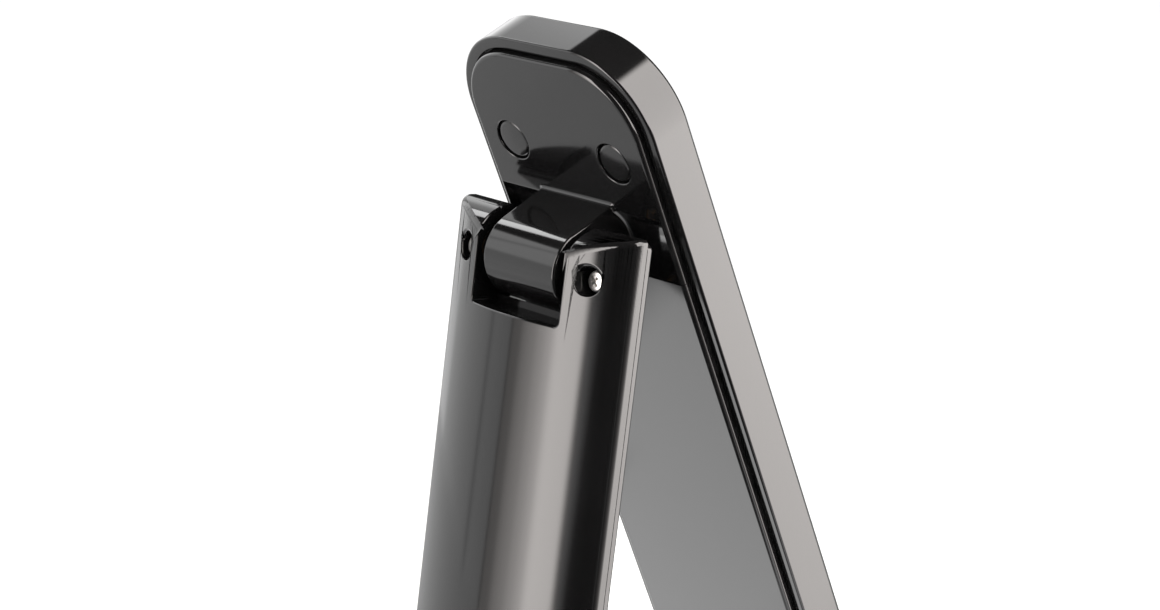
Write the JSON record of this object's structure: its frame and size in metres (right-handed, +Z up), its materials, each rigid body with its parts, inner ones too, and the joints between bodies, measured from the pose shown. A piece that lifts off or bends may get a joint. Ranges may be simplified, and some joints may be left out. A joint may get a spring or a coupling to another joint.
{
  "type": "photo album stand",
  "caption": "Folding easel-style album stand: a tall round-cornered panel with a fold-out ledge, propped by a slim leg on a friction hinge.",
  "frame": {"origin": "on the table, at the middle of the open stand's width and depth", "axes": "+Z up, the album faces -Y, the leg stands behind towards +Y, +X along the hinge axis"},
  "size_m": [0.054, 0.1656, 0.2372],
  "materials": {
    "frame_plastic": "high-gloss black, very slightly warm",
    "front_plastic": "fine satin grain, black",
    "cover_plastic": "piano-black gloss",
    "plug_plastic": "gloss black plug",
    "leg_plastic": "piano-black gloss",
    "pad_rubber": "fine-ribbed soft rubber, dark grey",
    "foot_rubber": "matte black rubber",
    "zinc_screw": "zinc-plated",
    "bright_screw": "bright nickel-plated",
    "bracket_steel": "stamped, zinc-plated",
    "shaft_steel": "ground steel",
    "friction_brass": "phosphor bronze, dry"
  },
  "bodies": {
    "front_panel": {"outer_frame": "frame_plastic", "front_plate": "front_plastic", "grip_pad": "pad_rubber", "panel_foot": "foot_rubber", "hinge_cover": "cover_plastic", "rear_cover": "cover_plastic", "upper_screw_plugs": "plug_plastic", "lower_screw_plugs": "plug_plastic", "upper_cover_screws": "zinc_screw", "lower_cover_screws": "zinc_screw", "hinge_bracket": "bracket_steel", "bracket_screws": "zinc_screw", "ledge_pin": "shaft_steel"},
    "rear_leg": {"leg_outer_shell": "leg_plastic", "leg_inner_cover": "leg_plastic", "leg_foot": "foot_rubber", "hinge_fork": "bracket_steel", "fork_screws": "zinc_screw", "ear_screws": "bright_screw", "inner_cover_screws": "zinc_screw", "hinge_shaft": "shaft_steel", "friction_washers": "friction_brass", "disc_springs": "bracket_steel", "spacer_bushes": "bracket_steel"},
    "album_ledge": {"album_ledge": "front_plastic", "ledge_pad": "pad_rubber"}
  },
  "joints": [
    {"name": "leg_hinge", "type": "hinge", "parent": "front_panel", "child": "rear_leg", "pos_m": [0, 0.04347, 0.19], "axis": [1, 0, 0], "range_deg": [-31.5, 28.5]},
    {"name": "ledge_fold", "type": "hinge", "parent": "front_panel", "child": "album_ledge", "pos_m": [0, -0.0507, 0.0165], "axis": [1, 0, 0], "range_deg": [-90, 0]}
  ]
}
